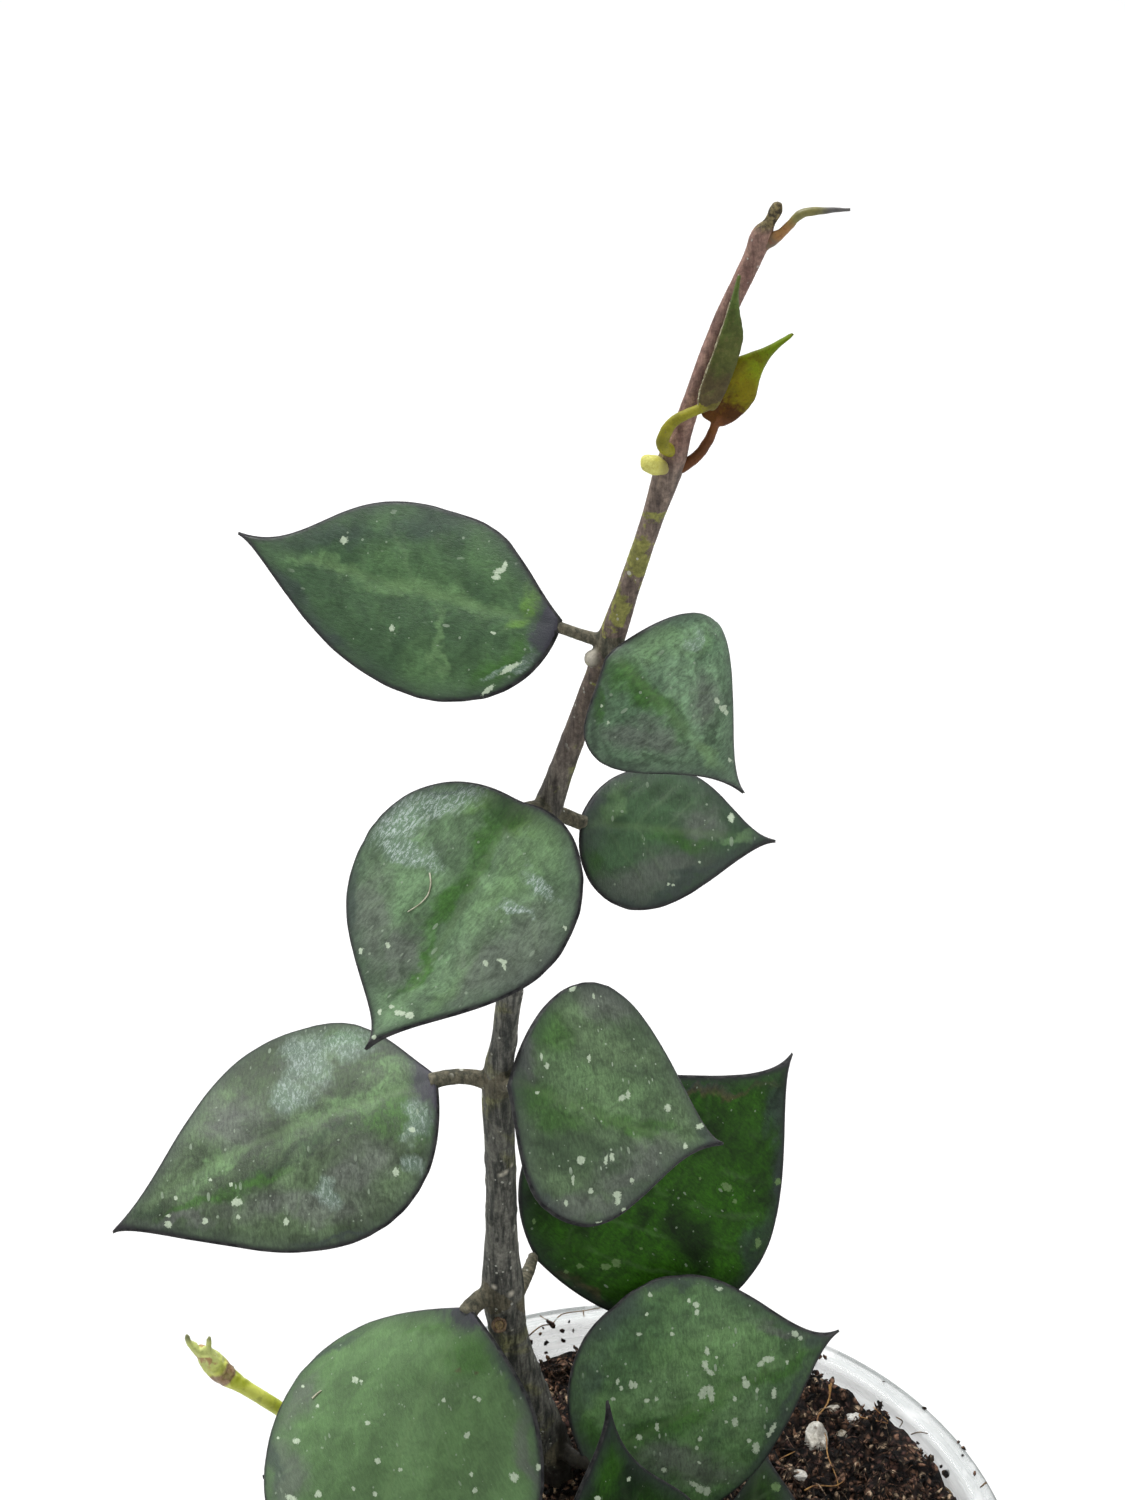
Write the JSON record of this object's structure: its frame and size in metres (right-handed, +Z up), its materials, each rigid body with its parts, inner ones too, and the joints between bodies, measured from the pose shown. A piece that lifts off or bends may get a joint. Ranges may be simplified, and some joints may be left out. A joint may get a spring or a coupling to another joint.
{
  "type": "potted hoya plant",
  "caption": "Young vining houseplant with pointed waxy leaves in opposite pairs on a thin leaning stem, rooted in dark soil in a clear round nursery pot.",
  "frame": {"origin": "centre of the pot's flat base", "axes": "+Z up along the pot's axis; the side seen in the picture faces -Y; +X is to its right"},
  "size_m": [0.1033, 0.091, 0.2513],
  "materials": {
    "clear_plastic": "gloss",
    "soil": "matte",
    "perlite": "matte",
    "stem": "matte",
    "shoot": "satin",
    "leaf": "satin",
    "young_leaf": "satin",
    "tip_leaf": "satin",
    "bud": "satin"
  },
  "bodies": {
    "root": {"pot": "clear_plastic", "soil": "soil", "perlite_1": "perlite", "perlite_2": "perlite", "perlite_3": "perlite", "perlite_4": "perlite", "perlite_5": "perlite", "main_stem": "stem", "front_stem": "stem", "side_shoot": "shoot", "leaf_1_right": "leaf", "leaf_1_left": "leaf", "leaf_2_left": "leaf", "leaf_2_right": "leaf", "leaf_3_left": "leaf", "leaf_3_right": "leaf", "leaf_4_left": "leaf", "leaf_4_right": "leaf", "leaf_5_left": "leaf", "leaf_5_right": "leaf", "front_leaf_up": "leaf", "front_leaf_low": "leaf", "young_leaf_left": "young_leaf", "young_leaf_right": "young_leaf", "tip_leaf": "tip_leaf", "side_bud": "bud"}
  },
  "joints": []
}
